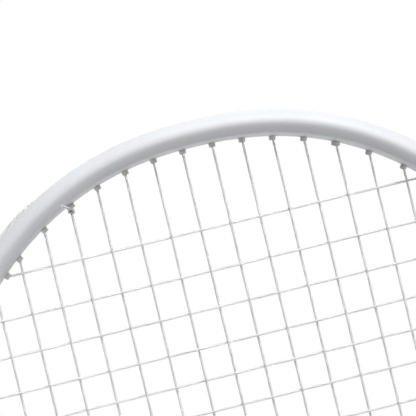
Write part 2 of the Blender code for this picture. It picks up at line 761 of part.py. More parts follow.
def make_strings(holes, finish_main, finish_cross):
    for name, path, finish in (
        ("main_string", main_path(holes), finish_main),
        ("cross_string", cross_path(holes), finish_cross),
    ):
        length = sum((one - other).length for one, other in zip(path, path[1:]))
        print(f"{name}: {length:.2f} m long, least gap to itself {least_gap(path) * 1000:.2f} mm")
        add_part(name, tube_mesh(name, path, STRING_RADIUS), finish)


clear_scene()
PARTS = new_collection("badminton_racket")
CUTTERS = new_collection("cutters")
HOLES_BY_LABEL, HOLES = string_holes()
make_frame(HOLES, new_material("pearl_silver_paint", (0.72, 0.74, 0.77), 0.32, 0.25))
make_strips(HOLES, new_material("grommet_nylon", (0.36, 0.35, 0.34), 0.5))
make_strings(
    HOLES_BY_LABEL,
    new_material("main_string_nylon", (0.80, 0.80, 0.83), 0.35),
    new_material("cross_string_nylon", (0.78, 0.79, 0.80), 0.35),
)
make_shaft(new_material("shaft_paint", (0.70, 0.72, 0.75), 0.3, 0.25))
make_core(new_material("handle_wood", (0.62, 0.45, 0.28), 0.7))
make_cone(new_material("cone_plastic", (0.74, 0.76, 0.79), 0.35))
make_cap(new_material("cap_plastic", (0.80, 0.81, 0.83), 0.45))
make_grip(new_material("grip_polyurethane", (0.82, 0.82, 0.82), 0.75))
make_collar(new_material("collar_rubber", (0.55, 0.56, 0.58), 0.6))
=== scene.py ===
"""Badminton racket: its painted hoop, woven strings, grommets, shaft and wound grip, with light and camera.

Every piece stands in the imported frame: butt face at z = 0, shaft up +Z, strings in the plane y = 0
and the front of the head towards -Y. All sizes are in metres.
"""

import math

import bmesh
import bpy
from mathutils import Matrix, Vector


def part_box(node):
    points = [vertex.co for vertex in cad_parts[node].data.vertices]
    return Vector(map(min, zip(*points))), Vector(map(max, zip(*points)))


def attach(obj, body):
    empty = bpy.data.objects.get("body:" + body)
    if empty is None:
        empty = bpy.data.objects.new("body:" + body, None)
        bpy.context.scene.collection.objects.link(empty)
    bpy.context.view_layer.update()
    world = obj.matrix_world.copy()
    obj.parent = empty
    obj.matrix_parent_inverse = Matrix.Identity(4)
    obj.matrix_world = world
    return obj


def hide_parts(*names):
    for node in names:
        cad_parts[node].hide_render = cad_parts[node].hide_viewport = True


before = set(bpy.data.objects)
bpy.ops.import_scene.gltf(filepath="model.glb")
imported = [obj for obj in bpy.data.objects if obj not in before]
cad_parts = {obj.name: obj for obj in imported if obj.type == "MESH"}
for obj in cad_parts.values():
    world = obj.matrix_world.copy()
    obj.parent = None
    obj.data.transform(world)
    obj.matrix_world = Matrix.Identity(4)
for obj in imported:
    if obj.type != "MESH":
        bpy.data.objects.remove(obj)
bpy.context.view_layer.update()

BODY = "root"

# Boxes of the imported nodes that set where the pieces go
HOOP_LOW, HOOP_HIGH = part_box("head_frame")
SHAFT_LOW, SHAFT_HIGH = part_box("shaft")
CORE_LOW, CORE_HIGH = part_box("handle_core")
CONE_LOW, CONE_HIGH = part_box("cone_cap")
CAP_LOW, CAP_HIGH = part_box("butt_cap")
GRIP_LOW, GRIP_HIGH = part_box("grip_wrap")
COLLAR_LOW, COLLAR_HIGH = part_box("grip_collar")

# Head outline at its outer edge: two half superellipses that meet at the widest level
HEAD_HALF_WIDTH = HOOP_HIGH.x
HEAD_TOP = HOOP_HIGH.z
HEAD_TOP_HEIGHT = 0.128
HEAD_BOTTOM_HEIGHT = 0.124
TOP_FULLNESS = 2.20
BOTTOM_FULLNESS = 2.15
HEAD_CENTRE = HEAD_TOP - HEAD_TOP_HEIGHT
HEAD_FOOT = HEAD_CENTRE - HEAD_BOTTOM_HEIGHT

# Hoop section: a crown with an inner crease, an outer lip and a string groove
HOOP_STATIONS = 360
HOOP_HALF_WIDTH = 0.0036
HOOP_HALF_DEPTH = HOOP_HIGH.y
INNER_FULLNESS = 1.5
OUTER_FULLNESS = 2.2
CROWN_STEPS = 28
CREASE_OUT = -0.00275
CREASE_DEPTH = 0.0040
CREASE_NOTCH = 0.00005
RIDGE_STEPS = 5
RIDGE_BULGE = 1.15
LIP_OUT = 0.00305
LIP_DEPTH = 0.0030
LIP_NOTCH = 0.00006
RIM_DEPTH = 0.00205
GROOVE_DEPTH = 0.0018
GROOVE_HALF_FLOOR = 0.00175
GROOVE_HALF_MOUTH = 0.00195
SHARP_ANGLE = math.radians(32)

# Throat, where the hoop runs out into the socket for the shaft
THROAT_LENGTH = 0.021
THROAT_RADIUS = 0.0052
THROAT_TOP_WIDTH = 0.0064
THROAT_TOP_DEPTH = 0.0047
THROAT_LIP = 0.0006
FILLET_HEIGHT = 0.0060
FILLET_WIDTH = 0.0045
THROAT_RINGS = 40
THROAT_SIDES = 48

# Strings
STRING_RADIUS = 0.00033
STRING_DIAMETER = 2 * STRING_RADIUS
STRING_SIDES = 8
MAIN_PITCH = 0.00825
MAIN_EDGE_MARGIN = 0.0035
FIRST_CROSS_DROP = 0.0223
SECOND_CROSS_GAP = 0.01135
CROSS_WIDE_GAP = 0.0099
CROSS_NARROW_GAP = 0.0086
LAST_CROSS_RISE = 0.0230
CROSS_SWAY = 0.00045
MAIN_SWAY = 0.00019
SWAY_STEPS = 6
END_SWAY = 0.0025
LANE_OFFSET = 0.00134
LANE_RAMP = 0.0016
LEAD_LIFT = 0.0009
RUN_STEP = 0.004
CORNER_CUT = 0.0006
CORNER_STEPS = 4
KNOT_RADIUS = 0.00070
KNOT_RISE = 0.00069
KNOT_STEPS = 14
MAIN_KNOT_TURNS = 1.5
CROSS_KNOT_TURNS = 1.25
KNOT_CLOSE = 0.0004
KNOT_TAIL = ((-0.00025, -0.00175, -0.00066), (0.0027, -0.0054, 0.0009))
RIM_REACH = 0.0012

# Grommets
INNER_WALL = -HOOP_HALF_WIDTH
GROOVE_FLOOR = HOOP_HALF_WIDTH - GROOVE_DEPTH
BARREL_REACH = 0.0011
BARREL_TIP = INNER_WALL - BARREL_REACH
STRING_STAND_OFF = 0.0005
STRING_BEND = BARREL_TIP - STRING_STAND_OFF
STRING_LEVEL = 0.00298
STRING_LEAN = 0.0010
HOLE_LAND = 0.0032
THROAT_HOLE_SPREAD = 0.0050
TIE_OFF_MAIN = 4
TIE_OFF_SPREAD = 0.00056
TIE_OFF_BREADTH = 1.34
NOSE_SIDES = 16
STRIP_BARRELS = 8
STRIP_END = 0.0024
STRIP_JOINT_GAP = 0.0006
STRIP_HALF_WIDTH = 0.00145
STRIP_BOTTOM = GROOVE_FLOOR + 0.00005
STRIP_TOP = 0.00245
STRIP_BEVEL = 0.00012
STRIP_STEPS = 40

# Shaft, cone, cap, collar and grip
TURNED_SIDES = 64
SHAFT_RADIUS = SHAFT_HIGH.x
CONE_TOP_RADIUS = 0.0049
CONE_BASE_RADIUS = CONE_HIGH.x
CONE_DIP = 0.0012
CONE_EDGE = 0.0005
CONE_STEPS = 36
CORE_CHAMFER = 0.0056
OCTAGON_GROWTH = 2 - math.sqrt(2)
OCTAGON_CORNER = 0.0018
OCTAGON_POINTS = 112
CAP_WALL = CAP_HIGH.x - CORE_HIGH.x
CAP_EDGE = 0.0010
CAP_RECESS = 0.00025
EDGE_STEPS = 5
GRIP_BASE = 0.0003
GRIP_THICKNESS = 0.0017
GRIP_PITCH = 0.022
GRIP_EDGE_WIDTH = 0.0026
GRIP_EDGE_SHARE = 0.62
GRIP_OVERLAP_RAISE = 0.00022
GRIP_ROW = 0.0005
COLLAR_WALL = COLLAR_HIGH.x - CORE_HIGH.x
COLLAR_BULGE = 0.00022

# Camera: the photograph's frame is square, and the lens is given on a 36 mm sensor
CAMERA_PLACE = Vector((-0.075, -0.780, 0.6455))
CAMERA_FORWARD = Vector((0.09452, 0.9955, 0.00693))
CAMERA_UP = Vector((0.23255, -0.02885, 0.97216))
CAMERA_LENS = 250.8
SENSOR_WIDTH = 36.0

# Light
AMBIENT_LEVEL = 0.025
BACKGROUND_LEVEL = 1.0
LAMP_AIM = Vector((0.0, 0.0, 0.58))
KEY_PLACE = Vector((0.30, -0.56, 1.92))
KEY_SIZE = 0.6
KEY_POWER = 18.5
FILL_PLACE = Vector((0.55, -0.90, 1.60))
FILL_SIZE = 1.0
FILL_POWER = 8.0
BACK_PLACE = Vector((-0.30, 1.50, 0.80))
BACK_SIZE = 1.2
BACK_POWER = 23.5
FLOOR_RADIUS = 1.2
FLOOR_FADE_START = 0.4
FLOOR_DROP = 0.0004

DEPTH_AXIS = Vector((0, 1, 0))
HEAD_MIDDLE = Vector((0, 0, HEAD_CENTRE))
WELD_DISTANCE = 1e-7
HALVINGS = 50
SPREAD_PASSES = 80


# Node and mesh helpers


def node(tree, kind, inputs=None, **options):
    """Add a node, set its options, and give its inputs values or links."""
    made = tree.nodes.new(kind)
    for option, value in options.items():
        setattr(made, option, value)
    for label, value in (inputs or {}).items():
        if isinstance(value, bpy.types.NodeSocket):
            tree.links.new(value, made.inputs[label])
        else:
            made.inputs[label].default_value = value
    return made


def new_finish(name, **sockets):
    """A material with its shader's constant sockets set, its tree, and Object coordinates."""
    made = bpy.data.materials.new(name)
    made.use_nodes = True
    tree = made.node_tree
    shader = tree.nodes["Principled BSDF"]
    for label, value in sockets.items():
        shader.inputs[label.replace("_", " ")].default_value = value
    place = node(tree, "ShaderNodeTexCoord").outputs["Object"]
    return made, tree, shader, place


def tone_ramp(tree, factor, stops):
    """A colour ramp with stops given as (position, colour)."""
    ramp = node(tree, "ShaderNodeValToRGB", {"Fac": factor})
    marks = ramp.color_ramp.elements
    while len(marks) < len(stops):
        marks.new(0.5)
    for mark, (position, colour) in zip(marks, stops):
        mark.position = position
        mark.color = (*colour, 1)
    return ramp.outputs["Color"]


def spread(tree, value, low, high):
    """Map a 0 to 1 value to a range."""
    return node(tree, "ShaderNodeMapRange", {"Value": value, "To Min": low, "To Max": high}).outputs["Result"]


def bump(tree, shader, height, strength, distance, under=None):
    inputs = {"Height": height, "Strength": strength, "Distance": distance}
    if under is not None:
        inputs["Normal"] = under
    made = node(tree, "ShaderNodeBump", inputs)
    tree.links.new(made.outputs["Normal"], shader.inputs["Normal"])
    return made.outputs["Normal"]


def add_piece(name, mesh, finish, slot, *stands_for):
    """Put a finished mesh in the scene, on the racket's body."""
    mesh.name = name
    piece = bpy.data.objects.new(name, mesh)
    bpy.context.scene.collection.objects.link(piece)
    mesh.materials.clear()
    mesh.materials.append(finish)
    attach(piece, BODY)
    if stands_for:
        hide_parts(*stands_for)
    return piece


def smooth_mesh(name, shape):
    """A mesh from a bmesh, with faces outwards, smooth but for its sharp edges."""
    bmesh.ops.remove_doubles(shape, verts=shape.verts, dist=WELD_DISTANCE)
    bmesh.ops.recalc_face_normals(shape, faces=shape.faces)
    mesh = bpy.data.meshes.new(name)
    shape.to_mesh(mesh)
    shape.free()
    mesh.shade_smooth()
    mesh.set_sharp_from_angle(angle=SHARP_ANGLE)
    return mesh


def add_rings(shape, rings, closed_path=False, cap_ends=True):
    """Skin rings of points, each ring closed, one after the other."""
    loops = [[shape.verts.new(point) for point in ring] for ring in rings]
    pairs = list(zip(loops, loops[1:]))
    if closed_path:
        pairs.append((loops[-1], loops[0]))
    faces = []
    for before, after in pairs:
        for place in range(len(before)):
            beside = (place + 1) % len(before)
            faces.append(shape.faces.new((before[place], before[beside], after[beside], after[place])))
    if cap_ends and not closed_path:
        shape.faces.new(loops[0])
        shape.faces.new(loops[-1])
    return faces


def turned_rings(profile, sides):
    """Rings about the shaft's axis for a profile of (radius, height)."""
    rings = []
    for radius, height in profile:
        turns = [2 * math.pi * count / sides for count in range(sides)]
        rings.append([(radius * math.cos(turn), radius * math.sin(turn), height) for turn in turns])
    return rings


def turned_mesh(name, profile):
    shape = bmesh.new()
    add_rings(shape, turned_rings(profile, TURNED_SIDES))
    return smooth_mesh(name, shape)


def rounded_edge(start_turn, radius, centre):
    """A quarter round of (across, height) points, from a turn on, about a centre."""
    points = []
    for step in range(EDGE_STEPS + 1):
        turn = start_turn + math.pi / 2 * step / EDGE_STEPS
        points.append((centre[0] + radius * math.cos(turn), centre[1] + radius * math.sin(turn)))
    return points


# Head outline and string route


def head_point(angle, outwards):
    """A point of the head at an angle from its widest level, and the outward normal there."""
    along, up = math.cos(angle), math.sin(angle)
    half_width = HEAD_HALF_WIDTH - HOOP_HALF_WIDTH
    height = (HEAD_TOP_HEIGHT if up >= 0 else HEAD_BOTTOM_HEIGHT) - HOOP_HALF_WIDTH
    fullness = TOP_FULLNESS if up >= 0 else BOTTOM_FULLNESS
    reach = (abs(along / half_width) ** fullness + abs(up / height) ** fullness) ** (-1 / fullness)
    x, z = reach * along, reach * up
    steep_x = math.copysign(abs(x) ** (fullness - 1) / half_width**fullness, x)
    steep_z = math.copysign(abs(z) ** (fullness - 1) / height**fullness, z)
    normal = Vector((steep_x, 0, steep_z)).normalized()
    return Vector((x, 0, z + HEAD_CENTRE)) + normal * outwards, normal


def angle_where(test, low, high):
    """The angle between low and high where a rising or falling test passes zero."""
    rising = test(high) > test(low)
    for _ in range(HALVINGS):
        middle = (low + high) / 2
        if (test(middle) > 0) == rising:
            high = middle
        else:
            low = middle
    return (low + high) / 2


class Hole:
    """One string hole of the right half of the head, with the string's way through it."""

    def __init__(self, label, line_angle, heading, shared=False, slant=0.0):
        self.label = label
        self.heading = heading
        self.shared = shared
        self.slant = slant
        spot, normal = head_point(line_angle, STRING_BEND)
        slide = heading.dot(Vector((-normal.z, 0, normal.x)))
        lean = min(STRING_STAND_OFF + BARREL_REACH, STRING_LEAN / max(abs(slide), 1e-6)) * slide
        self.lean_angle = lean / (spot - HEAD_MIDDLE).length
        self.angle = line_angle - self.lean_angle

    def settle(self):
        """Work out the bore's axis and the string's bend once the hole's place is known."""
        middle, normal = head_point(self.angle, 0)
        upwards = Vector((-normal.z, 0, normal.x))
        self.slope = normal + upwards * (self.slant / (STRING_LEVEL - INNER_WALL))
        self.mouth = middle + normal * INNER_WALL
        self.bend, _ = head_point(self.angle + self.lean_angle, STRING_BEND)
        exit_spot = self.at(STRING_LEVEL)
        self.exit_angle = math.atan2(exit_spot.z - HEAD_CENTRE, exit_spot.x)
        self.first_string = DEPTH_AXIS * (-TIE_OFF_SPREAD if self.shared else 0)

    def at(self, outwards):
        return self.mouth + self.slope * (outwards - INNER_WALL)

    def rim(self):
        """Where the string's line, carried straight on from its bend, meets the level of the tip."""
        _, normal = head_point(self.angle, 0)
        steep = max(-self.heading.dot(normal), STRING_STAND_OFF / RIM_REACH)
        return self.bend - self.heading * (STRING_STAND_OFF / steep)


def main_levels():
    """Distances of the mains from the middle, on one side of the head."""
    limit = HEAD_HALF_WIDTH - 2 * HOOP_HALF_WIDTH - MAIN_EDGE_MARGIN
    count = int(limit / MAIN_PITCH + 0.5)
    return [(index + 0.5) * MAIN_PITCH for index in range(count)]


def cross_levels():
    """Heights of the crosses, from the top down."""
    lowest = HEAD_FOOT + 2 * HOOP_HALF_WIDTH + LAST_CROSS_RISE
    level = HEAD_TOP - 2 * HOOP_HALF_WIDTH - FIRST_CROSS_DROP
    levels = [level]
    gap = SECOND_CROSS_GAP
    while level - gap >= lowest:
        level -= gap
        levels.append(level)
        gap = CROSS_WIDE_GAP if len(levels) % 2 == 0 else CROSS_NARROW_GAP
    return levels


def spread_holes(holes):
    """Push holes apart along the head until each keeps its land to the next."""
    for _ in range(SPREAD_PASSES):
        holes.sort(key=lambda hole: -hole.angle)
        for upper, lower in zip(holes, holes[1:]):
            here, _ = head_point(upper.angle, INNER_WALL)
            there, _ = head_point(lower.angle, INNER_WALL)
            short = HOLE_LAND - (here - there).length
            if short > 0:
                push = short / 2 / (here - HEAD_MIDDLE).length
                upper.angle += push
                lower.angle -= push


def string_holes():
    """The holes of the right half of the head, by label, and in order from the top down."""
    quarter = math.pi / 2
    mains = main_levels()
    end_side = "bottom" if len(mains) % 2 else "top"
    holes = []
    for index, level in enumerate(mains):
        for side, low, high, heading in (("top", 0, quarter, -1), ("bottom", -quarter, 0, 1)):
            angle = angle_where(lambda a: head_point(a, STRING_BEND)[0].x - level, low, high)
            ends_here = index == len(mains) - 2 and side == end_side
            shared = index == TIE_OFF_MAIN or ends_here
            slant = THROAT_HOLE_SPREAD if side == "bottom" and index == 0 else 0.0
            holes.append(Hole((side, index), angle, Vector((0, 0, heading)), shared, slant))
    for index, level in enumerate(cross_levels()):
        angle = angle_where(lambda a: head_point(a, STRING_BEND)[0].z - level, -quarter, quarter)
        holes.append(Hole(("cross", index), angle, Vector((-1, 0, 0))))
    spread_holes(holes)
    for hole in holes:
        hole.settle()
    return {hole.label: hole for hole in holes}, holes


def mirrored(points):
    return [Vector((-point.x, point.y, point.z)) for point in points]


def eased(points):
    """Round the corners of a route with short curves."""
    made = [points[0]]
    for before, corner, after in zip(points, points[1:], points[2:]):
        back, on = before - corner, after - corner
        start = corner + back.normalized() * min(CORNER_CUT, back.length * 0.45)
        end = corner + on.normalized() * min(CORNER_CUT, on.length * 0.45)
        for step in range(CORNER_STEPS + 1):
            share = step / CORNER_STEPS
            made.append(start.lerp(corner, share).lerp(corner.lerp(end, share), share))
    made.append(points[-1])
    return made


def swaying(points):
    """Carry a route from crossing to crossing on smooth half waves in its depth."""
    made = []
    for here, there in zip(points, points[1:]):
        for step in range(SWAY_STEPS):
            share = step / SWAY_STEPS
            spot = here.lerp(there, share)
            spot.y = here.y + (there.y - here.y) * (1 - math.cos(math.pi * share)) / 2
            made.append(spot)
    made.append(points[-1])
    return made


def groove_run(first, last, lane, first_shift, last_shift, lift=0.0):
    """The string's way along the groove, from one hole's exit to another's, lifted on the way."""
    turn = 1 if last.exit_angle > first.exit_angle else -1
    crossing_over = last_shift.y * lane < 0
    ramp = turn * LANE_RAMP / (last.at(STRING_LEVEL) - HEAD_MIDDLE).length
    start = first.exit_angle + turn * LANE_RAMP / (first.at(STRING_LEVEL) - HEAD_MIDDLE).length
    finish = last.exit_angle - (2 * ramp if crossing_over else ramp)
    span = abs(finish - start) * (first.at(STRING_LEVEL) - HEAD_MIDDLE).length
    steps = max(1, math.ceil(span / RUN_STEP))
    run = [first.at(STRING_LEVEL) + first_shift]
    for step in range(steps + 1):
        share = step / steps
        level = STRING_LEVEL + lift * math.sin(math.pi * share)
        spot, _ = head_point(start + (finish - start) * share, level)
        run.append(spot + DEPTH_AXIS * lane)
    if crossing_over:
        spot, _ = head_point(last.exit_angle - ramp, STRING_LEVEL)
        run.append(spot + last_shift)
    run.append(last.at(STRING_LEVEL) + last_shift)
    return run


def knot(level, top, way, hand, turns):
    """A string's end laid along a main and wound back round both; way is up or down the main."""
    foot = top + way * KNOT_RISE * turns
    points = [Vector((level, STRING_DIAMETER, foot))]
    for step in range(round(turns * KNOT_STEPS) + 1):
        turn = math.pi / 2 + hand * 2 * math.pi * step / KNOT_STEPS
        across = KNOT_RADIUS * math.cos(turn)
        deep = STRING_RADIUS + (KNOT_RADIUS + STRING_RADIUS) * math.sin(turn)
        points.append(Vector((level + across, deep, foot - way * KNOT_RISE * step / KNOT_STEPS)))
    return points


def tie_off(hole, hand, turns):
    """From a shared hole's bore to the knot on the main beside it, and its tail across the nose."""
    way = 1 if hole.label[0] == "bottom" else -1
    wound = knot(hole.bend.x, hole.bend.z - way * KNOT_CLOSE, way, hand, turns)
    nose = hole.at((INNER_WALL + BARREL_TIP) / 2)
    tail = [nose + Vector((x, y, -way * z)) for x, y, z in KNOT_TAIL]
    return [hole.at(BARREL_TIP) - hole.first_string] + wound[:-2] + eased(wound[-2:] + tail)


def crossing(count, hole, holes):
    """Where a main meets a cross, or None where that cross ends before it."""
    level = hole.bend.z
    above, below = holes["top", count].bend, holes["bottom", count].bend
    across = above.lerp(below, (above.z - level) / (above.z - below.z)).x
    if across < hole.bend.x and below.z < level < above.z:
        return Vector((across, 0, level))
    return None


def cross_in_front(count, index, side):
    """Whether a cross passes in front of a main, on the right (1) or the left (-1)."""
    return ((count + index) % 2 == 1) == (side > 0)


def main_span(count, enter, leave, holes, side):
    """One main between its two bends, swaying a little at each cross."""
    spots = []
    for index in range(len(cross_levels())):
        spot = crossing(count, holes["cross", index], holes)
        if spot is not None:
            spot.y = MAIN_SWAY if cross_in_front(count, index, side) else -MAIN_SWAY
            spots.append(spot)
    if enter.label[0] == "bottom":
        spots.reverse()
    return swaying([enter.bend] + spots + [leave.bend])


def main_half(holes, side):
    """The main string from the top middle out to one side, ending in its knot, as on the right."""
    count = len(main_levels())
    top = holes["top", 0]
    start, _ = head_point(math.pi / 2, STRING_LEVEL)
    ramp, _ = head_point(top.exit_angle + LANE_RAMP / HEAD_TOP_HEIGHT, STRING_LEVEL)
    corner = [start - DEPTH_AXIS * LANE_OFFSET, ramp - DEPTH_AXIS * LANE_OFFSET, top.at(STRING_LEVEL)]
    half = []
    for index in range(count):
        ends = ("top", "bottom") if index % 2 == 0 else ("bottom", "top")
        enter, leave = holes[ends[0], index], holes[ends[1], index]
        span = main_span(index, enter, leave, holes, side)
        bore = enter.at(INNER_WALL) + enter.first_string
        half += eased(corner + [bore, enter.rim(), span[0], span[1]])[:-1]
        half += span[1:-2]
        last = index + 1 == count
        beside = holes[ends[1], index - 1 if last else index + 1]
        shift = -beside.first_string if last else beside.first_string
        corner = [span[-2], span[-1], leave.rim(), leave.at(INNER_WALL) + leave.first_string]
        corner += groove_run(leave, beside, -LANE_OFFSET, leave.first_string, shift)
    ending = tie_off(beside, 1, MAIN_KNOT_TURNS)
    return half + eased(corner + ending[:1])[:-1] + ending


def main_path(holes):
    return list(reversed(mirrored(main_half(holes, -1)[1:]))) + main_half(holes, 1)


def woven_cross(index, hole, holes):
    """One cross from left to right, in front of and behind the mains by turns."""
    row = []
    for side in (-1, 1):
        spots = []
        for count in range(len(main_levels())):
            spot = crossing(count, hole, holes)
            if spot is not None:
                spot.x *= side
                spot.y = -CROSS_SWAY if cross_in_front(count, index, side) else CROSS_SWAY
                spots.append(spot)
        row += list(reversed(spots)) if side < 0 else spots
    ends = []
    for near, flip in ((row[0], -1), (row[-1], 1)):
        bend, rim, bore = hole.bend.copy(), hole.rim(), hole.at(INNER_WALL)
        if bend.x - abs(near.x) < END_SWAY:
            bend.y = near.y
        for spot in (bend, rim, bore):
            spot.x *= flip
        ends.append((bend, [rim, bore]))
    return ends[0][1], swaying([ends[0][0]] + row + [ends[1][0]]), ends[1][1]


def cross_path(holes):
    """The cross string: from its knot at the top left, to and fro, to its knot at the bottom right."""
    count = len(cross_levels())
    start, finish = holes["top", TIE_OFF_MAIN], holes["bottom", TIE_OFF_MAIN]
    first, last = holes["cross", 0], holes["cross", count - 1]
    beginning = tie_off(start, 1, CROSS_KNOT_TURNS)
    path = mirrored(list(reversed(beginning)))
    lead = groove_run(start, first, LANE_OFFSET, -start.first_string, Vector(), LEAD_LIFT)
    corner = mirrored(beginning[:1] + lead)
    for index in range(count):
        hole = holes["cross", index]
        bore, span, far_bore = woven_cross(index, hole, holes)
        rightwards = index % 2 == 0
        if not rightwards:
            bore, span, far_bore = far_bore, list(reversed(span)), bore
        path += eased(corner + bore[::-1] + [span[0], span[1]])[1:-1]
        path += span[1:-1]
        after = last if hole is last else holes["cross", index + 1]
        if hole is last:
            run = groove_run(last, finish, LANE_OFFSET, Vector(), -finish.first_string)
        else:
            run = groove_run(hole, after, LANE_OFFSET, Vector(), Vector())
        corner = [span[-2], span[-1]] + far_bore + (run if rightwards else mirrored(run))
    ending = tie_off(finish, -1, CROSS_KNOT_TURNS)
    if count % 2 == 0:
        ending = mirrored(ending)
    return path + eased(corner + ending[:1])[1:-1] + ending


# Finishes


def flake_paint(name, colour):
    """Satin pearl paint: fine flakes that give a broad sheen, with faint clouds in its tone."""
    made, tree, shader, place = new_finish(name, Metallic=0.25, Roughness=0.60)
    flakes = node(tree, "ShaderNodeTexVoronoi", {"Vector": place, "Scale": 6500.0})
    clouds = node(tree, "ShaderNodeTexNoise", {"Vector": place, "Scale": 45.0, "Detail": 4.0})
    sparkle = node(tree, "ShaderNodeRGBToBW", {"Color": flakes.outputs["Color"]}).outputs["Val"]
    shade = tuple(channel * 0.94 for channel in colour)
    tone = tone_ramp(tree, clouds.outputs["Fac"], [(0.3, shade), (0.7, colour)])
    glint = spread(tree, sparkle, 0.93, 1.05)
    mix = node(tree, "ShaderNodeMix", {0: 1.0, 6: tone, 7: glint}, data_type="RGBA", blend_type="MULTIPLY")
    tree.links.new(mix.outputs[2], shader.inputs["Base Color"])
    tree.links.new(spread(tree, sparkle, 0.55, 0.65), shader.inputs["Roughness"])
    bump(tree, shader, sparkle, 0.05, 0.00004)
    return made


def grommet_nylon(name):
    """Moulded nylon with a fine flow grain, and painted shade darkening the root of each barrel and the inside
    of its bore.
    """
    made, tree, shader, place = new_finish(name, Roughness=0.48)
    root = node(tree, "ShaderNodeAttribute", attribute_name="root_shade").outputs["Fac"]
    grain = node(tree, "ShaderNodeTexNoise", {"Vector": place, "Scale": 1800.0, "Detail": 4.0}).outputs["Fac"]
    body = tone_ramp(tree, grain, [(0.3, (0.89, 0.87, 0.84)), (0.7, (0.94, 0.92, 0.89))])
    # Painted shade: the barrel's root and bore are mixed towards a dark colour for the shade that falls there.
    mix = node(tree, "ShaderNodeMix", {0: root, 6: body, 7: (0.43, 0.40, 0.34, 1)}, data_type="RGBA")
    tree.links.new(mix.outputs[2], shader.inputs["Base Color"])
    tree.links.new(spread(tree, grain, 0.40, 0.56), shader.inputs["Roughness"])
    bump(tree, shader, grain, 0.25, 0.00003)
    return made


def string_nylon(name, colour):
    """Nylon that scatters light and lets some through, with fine filaments wrapped round the string."""
    made, tree, shader, place = new_finish(
        name, Roughness=0.38, Transmission_Weight=0.22,
        Subsurface_Weight=1.0, Subsurface_Radius=(1.0, 1.0, 1.0), Subsurface_Scale=0.001,
    )
    along = node(tree, "ShaderNodeAttribute", attribute_name="along").outputs["Fac"]
    wobble = node(tree, "ShaderNodeTexNoise", {"Vector": place, "Scale": 900.0, "Detail": 3.0}).outputs["Fac"]
    turns = node(tree, "ShaderNodeMath", {0: along, 1: 26000.0}, operation="MULTIPLY").outputs[0]
    shifted = node(tree, "ShaderNodeMath", {0: wobble, 1: 3.0, 2: turns}, operation="MULTIPLY_ADD").outputs[0]
    wave = node(tree, "ShaderNodeMath", {0: shifted}, operation="SINE").outputs[0]
    filament = node(
        tree, "ShaderNodeMapRange", {"Value": wave, "From Min": -1.0, "From Max": 1.0}
    ).outputs["Result"]
    shade = tuple(channel * 0.95 for channel in colour)
    tone = tone_ramp(tree, filament, [(0.2, shade), (0.8, colour)])
    tree.links.new(tone, shader.inputs["Base Color"])
    tree.links.new(spread(tree, wobble, 0.36, 0.42), shader.inputs["Roughness"])
    bump(tree, shader, filament, 0.08, 0.00003)
    return made


def moulded_plastic(name, colour, roughness):
    """Moulded plastic with a faint texture and cloudy gloss."""
    made, tree, shader, place = new_finish(name, Roughness=roughness)
    clouds = node(tree, "ShaderNodeTexNoise", {"Vector": place, "Scale": 90.0, "Detail": 5.0}).outputs["Fac"]
    grain = node(tree, "ShaderNodeTexVoronoi", {"Vector": place, "Scale": 2600.0}).outputs["Distance"]
    shade = tuple(channel * 0.93 for channel in colour)
    tree.links.new(tone_ramp(tree, clouds, [(0.3, shade), (0.7, colour)]), shader.inputs["Base Color"])
    tree.links.new(spread(tree, clouds, roughness - 0.06, roughness + 0.08), shader.inputs["Roughness"])
    bump(tree, shader, grain, 0.12, 0.00005)
    return made


def grip_polyurethane(name, colour):
    """Grip strip: a soft grain, with rows of small breathing holes along the strip, painted dark for the shade
    inside them.
    """
    made, tree, shader, place = new_finish(name, Roughness=0.7, Sheen_Weight=0.15)
    strip = node(tree, "ShaderNodeUVMap", uv_map="strip").outputs["UV"]
    spots = node(
        tree, "ShaderNodeTexVoronoi", {"Vector": strip, "Scale": 260.0, "Randomness": 0.0},
        voronoi_dimensions="2D",
    ).outputs["Distance"]
    hole = node(
        tree, "ShaderNodeMapRange", {"Value": spots, "From Min": 0.10, "From Max": 0.14}
    ).outputs["Result"]
    grain = node(tree, "ShaderNodeTexNoise", {"Vector": place, "Scale": 1400.0, "Detail": 6.0}).outputs["Fac"]
    wear = node(tree, "ShaderNodeTexNoise", {"Vector": place, "Scale": 40.0, "Detail": 3.0}).outputs["Fac"]
    shade = tuple(channel * 0.90 for channel in colour)
    surface = tone_ramp(tree, wear, [(0.35, shade), (0.65, colour)])
    # Painted shade: the breathing holes are coloured dark for the shade inside them.
    hole_painted_shade = tuple(channel * 0.35 for channel in colour)
    mix = node(tree, "ShaderNodeMix", {0: hole, 6: (*hole_painted_shade, 1), 7: surface}, data_type="RGBA")
    tree.links.new(mix.outputs[2], shader.inputs["Base Color"])
    tree.links.new(spread(tree, grain, 0.60, 0.80), shader.inputs["Roughness"])
    under = bump(tree, shader, grain, 0.35, 0.00012)
    bump(tree, shader, hole, 0.8, 0.0003, under)
    return made


def turned_wood(name):
    """Pale handle wood, with its grain along the handle."""
    made, tree, shader, place = new_finish(name, Roughness=0.65)
    lie = node(tree, "ShaderNodeMapping", {"Vector": place, "Scale": (1.0, 1.0, 0.06)}).outputs["Vector"]
    rings = node(
        tree, "ShaderNodeTexWave", {"Vector": lie, "Scale": 220.0, "Distortion": 6.0, "Detail": 3.0}
    ).outputs["Fac"]
    tone = tone_ramp(tree, rings, [(0.2, (0.50, 0.35, 0.20)), (0.8, (0.66, 0.49, 0.31))])
    tree.links.new(tone, shader.inputs["Base Color"])
    bump(tree, shader, rings, 0.2, 0.0001)
    return made


def background_rays(tree):
    """1 for the rays that show the background itself: to the camera, off gloss and through clear pieces."""
    rays = node(tree, "ShaderNodeLightPath")
    seen = node(
        tree, "ShaderNodeMath",
        {0: rays.outputs["Is Camera Ray"], 1: rays.outputs["Is Glossy Ray"]}, operation="MAXIMUM",
    )
    shown = node(
        tree, "ShaderNodeMath",
        {0: seen.outputs[0], 1: rays.outputs["Is Transmission Ray"]}, operation="MAXIMUM",
    )
    return shown.outputs[0]


